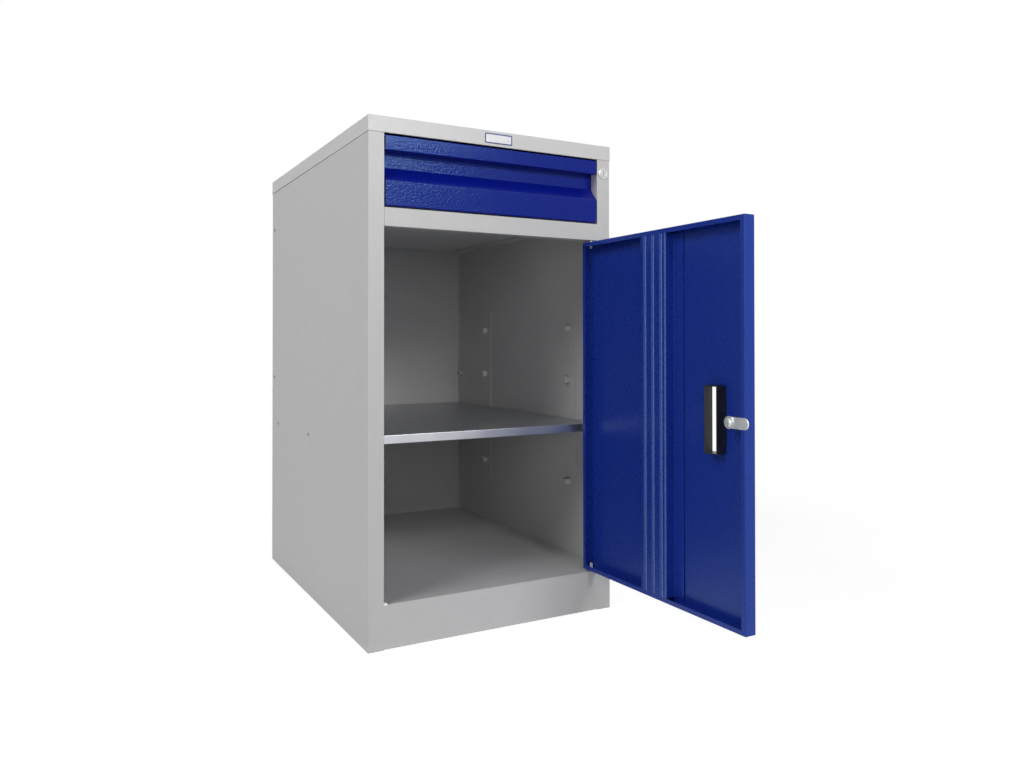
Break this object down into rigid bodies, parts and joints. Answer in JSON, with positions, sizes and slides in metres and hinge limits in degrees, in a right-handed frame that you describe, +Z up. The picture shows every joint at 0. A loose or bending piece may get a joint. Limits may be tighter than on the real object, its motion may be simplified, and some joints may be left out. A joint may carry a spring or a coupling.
{
  "type": "tool drawer cabinet",
  "caption": "Free-standing sheet-steel workshop cabinet with a lockable drawer over a hinged, lockable door, and a lift-out shelf on punched lugs inside.",
  "frame": {"origin": "on the floor, in the centre of the carcass's footprint, with the door open at a right angle", "axes": "+X to the cabinet's right as a user faces it, +Y from the front to the back, +Z up"},
  "size_m": [0.462, 1.0378, 0.84],
  "materials": {
    "grey_paint": "light grey textured powder coat",
    "blue_paint": "ultramarine blue orange-peel powder coat, satin",
    "galvanised": "galvanised sheet, faint rolling grain",
    "zinc": "bright zinc plate",
    "ball_steel": "polished bearing steel",
    "lock_chrome": "satin nickel plated die casting",
    "black_plastic": "black moulded plastic, fine texture",
    "nylon": "natural nylon",
    "plate": "white plate with a thin dark blue rim, bare"
  },
  "bodies": {
    "carcass": {"left_side_panel": "grey_paint", "right_side_panel": "grey_paint", "back_panel": "grey_paint", "top_cover": "grey_paint", "front_crossbar": "grey_paint", "floor_panel": "grey_paint", "plinth": "grey_paint", "name_plate": "plate", "left_rivet_nuts": "grey_paint", "right_rivet_nuts": "grey_paint", "left_front_lug_strip": "grey_paint", "left_rear_lug_strip": "grey_paint", "right_front_lug_strip": "grey_paint", "right_rear_lug_strip": "grey_paint", "left_slide_bracket": "grey_paint", "right_slide_bracket": "grey_paint", "left_outer_rail": "zinc", "right_outer_rail": "zinc", "outer_rail_screws": "zinc", "drawer_lock_housing": "lock_chrome", "drawer_lock_clip": "zinc", "upper_hinge_pin": "zinc", "lower_hinge_pin": "zinc"},
    "shelf": {"shelf": "galvanised"},
    "drawer": {"drawer_front": "blue_paint", "drawer_inner_front": "grey_paint", "drawer_left_side": "grey_paint", "drawer_right_side": "grey_paint", "drawer_back": "grey_paint", "drawer_bottom": "grey_paint", "drawer_front_studs": "zinc", "lock_catch": "zinc", "left_inner_rail": "zinc", "right_inner_rail": "zinc", "inner_rail_screws": "zinc"},
    "middle_rails": {"left_middle_rail": "zinc", "right_middle_rail": "zinc"},
    "outer_cages": {"left_outer_cage": "zinc", "right_outer_cage": "zinc", "outer_balls": "ball_steel"},
    "inner_cages": {"left_inner_cage": "zinc", "right_inner_cage": "zinc", "inner_balls": "ball_steel"},
    "drawer_lock": {"drawer_lock_plug": "lock_chrome", "drawer_lock_cam": "zinc", "drawer_lock_screw": "zinc"},
    "door": {"door_panel": "blue_paint", "door_stiffener": "blue_paint", "pull_handle": "black_plastic", "upper_hinge_bush": "nylon", "lower_hinge_bush": "nylon", "door_lock_housing": "lock_chrome", "door_lock_clip": "zinc"},
    "door_lock": {"door_lock_plug": "lock_chrome", "door_lock_cam": "zinc", "door_lock_washer": "zinc", "door_lock_screw": "lock_chrome"}
  },
  "joints": [
    {"name": "door_swing", "type": "hinge", "parent": "carcass", "child": "door", "pos_m": [0.1936, -0.3139, 0], "axis": [0, 0, 1], "range_deg": [-90, 20]},
    {"name": "door_lock_turn", "type": "hinge", "parent": "door", "child": "door_lock", "pos_m": [0.188, -0.68035, 0.37], "axis": [1, 0, 0], "range_deg": [0, 90]},
    {"name": "drawer_slide", "type": "slide", "parent": "carcass", "child": "drawer", "axis": [0, -1, 0], "range_m": [0, 0.5]},
    {"name": "middle_slide", "type": "slide", "parent": "carcass", "child": "middle_rails", "axis": [0, -1, 0], "range_m": [0, 0.25]},
    {"name": "outer_cage_slide", "type": "slide", "parent": "carcass", "child": "outer_cages", "axis": [0, -1, 0], "range_m": [0, 0.125]},
    {"name": "inner_cage_slide", "type": "slide", "parent": "carcass", "child": "inner_cages", "axis": [0, -1, 0], "range_m": [0, 0.375]},
    {"name": "drawer_lock_turn", "type": "hinge", "parent": "carcass", "child": "drawer_lock", "pos_m": [0.2157, -0.32, 0.79], "axis": [0, 1, 0], "range_deg": [0, 90]},
    {"name": "shelf_lift", "type": "slide", "parent": "carcass", "child": "shelf", "axis": [0, 0, 1], "range_m": [0, 0.06]}
  ],
  "couplings": [
    {"joint": "middle_slide", "follows": "drawer_slide", "ratio": 0.5},
    {"joint": "outer_cage_slide", "follows": "drawer_slide", "ratio": 0.25},
    {"joint": "inner_cage_slide", "follows": "drawer_slide", "ratio": 0.75}
  ]
}
